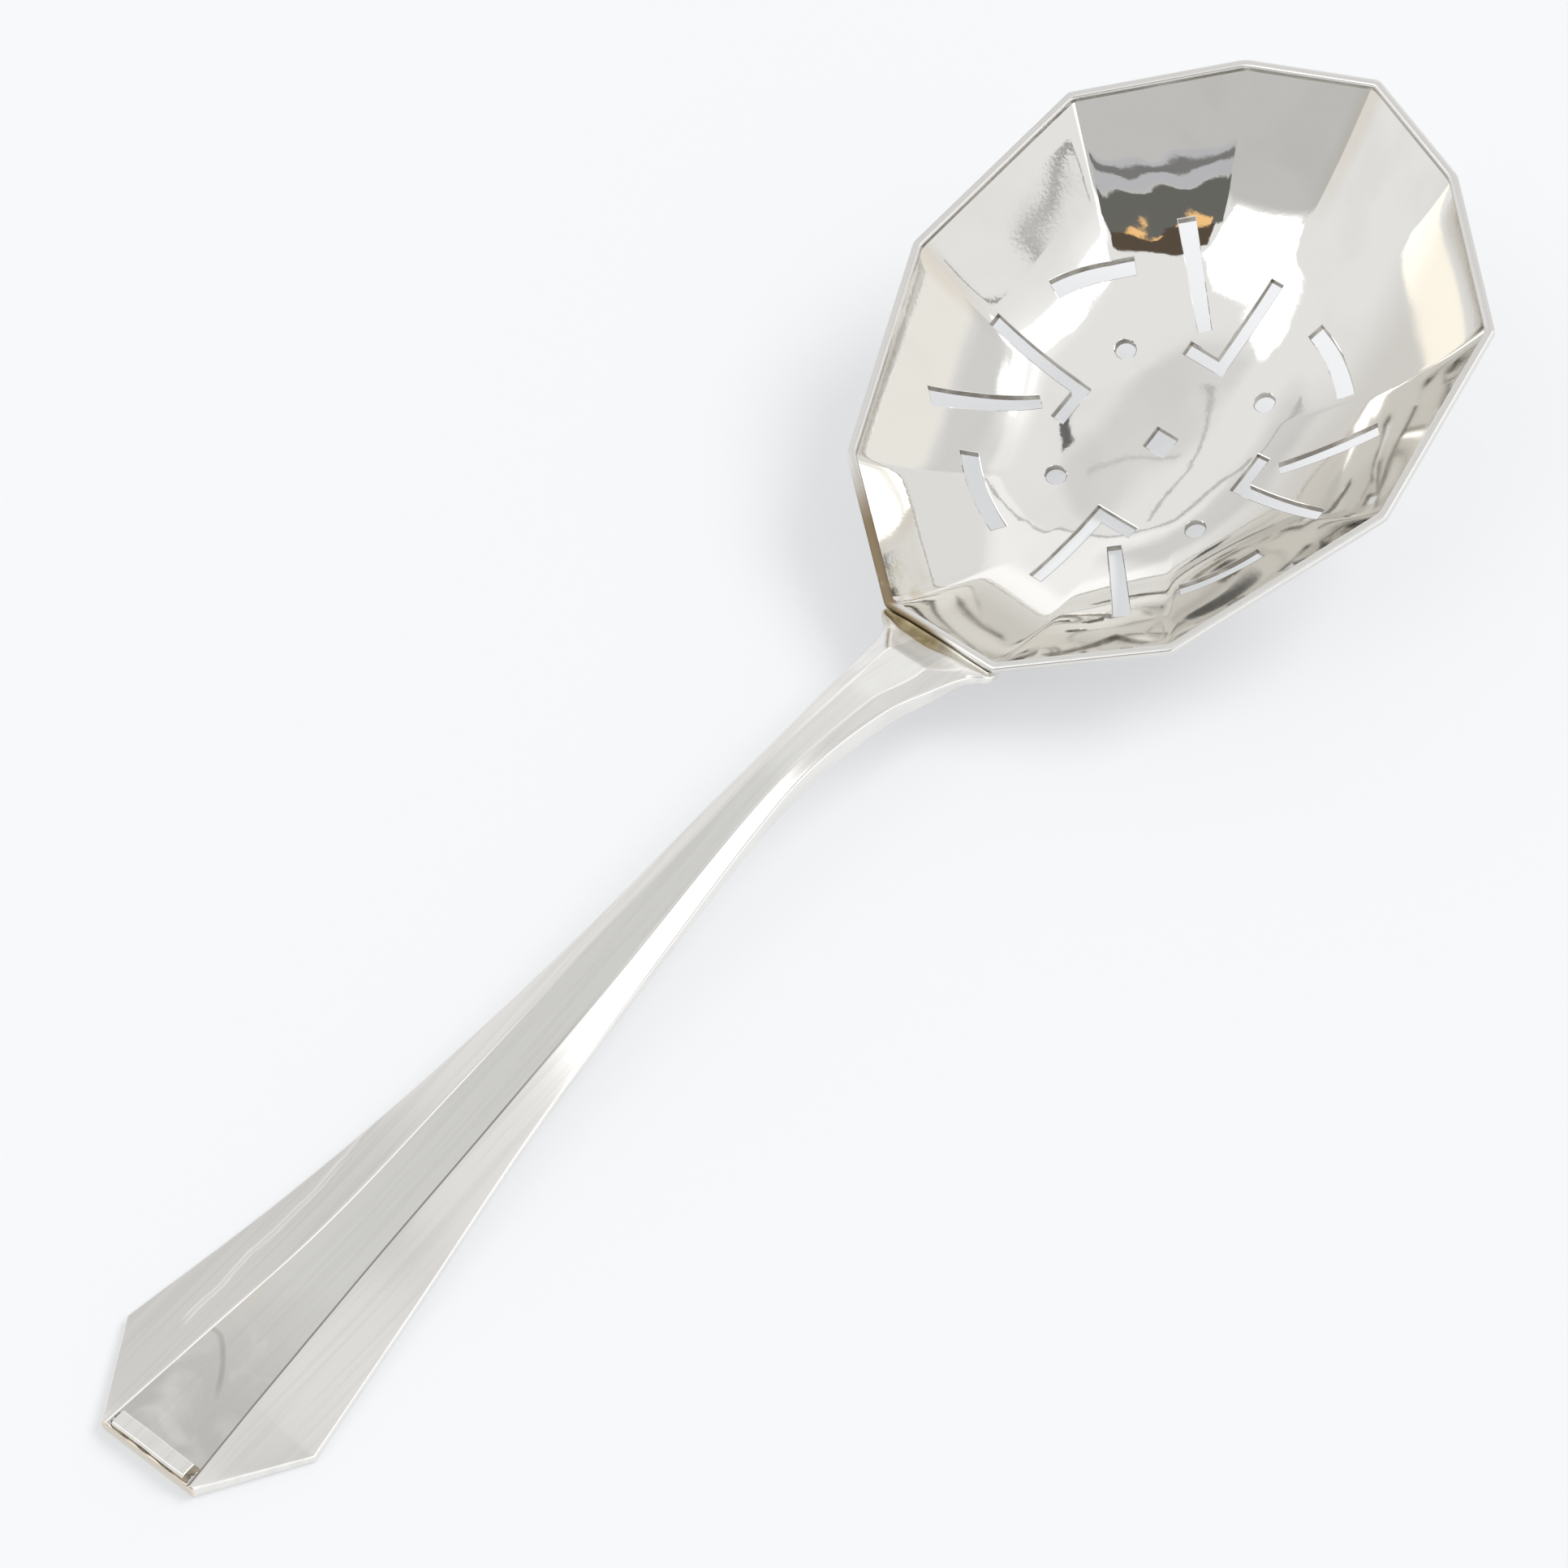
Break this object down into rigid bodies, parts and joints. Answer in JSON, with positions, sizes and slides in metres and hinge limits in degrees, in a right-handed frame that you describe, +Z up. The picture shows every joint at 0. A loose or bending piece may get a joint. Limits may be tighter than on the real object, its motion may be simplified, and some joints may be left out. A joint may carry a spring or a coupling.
{
  "type": "pierced serving spoon",
  "caption": "Silver serving spoon with a faceted, wire-edged oval bowl pierced by a turning pattern of drain slots, soldered to a bowed handle that widens to a bevelled end with a small bar.",
  "frame": {"origin": "on the table under the middle of the spoon's overall box, as it lies with the bowl open upwards", "axes": "+X from the handle's end to the bowl's tip, +Y to the left of that, +Z up from the table"},
  "size_m": [0.2102, 0.0666, 0.0325],
  "materials": {
    "bowl_silver": "polished silver",
    "wire_silver": "polished silver wire",
    "handle_silver": "satin silver",
    "solder": "tarnished silver solder"
  },
  "bodies": {
    "root": {"bowl": "bowl_silver", "rim_wire": "wire_silver", "handle": "handle_silver", "solder_seam": "solder", "end_bar": "handle_silver", "bar_solder": "solder"}
  },
  "joints": []
}
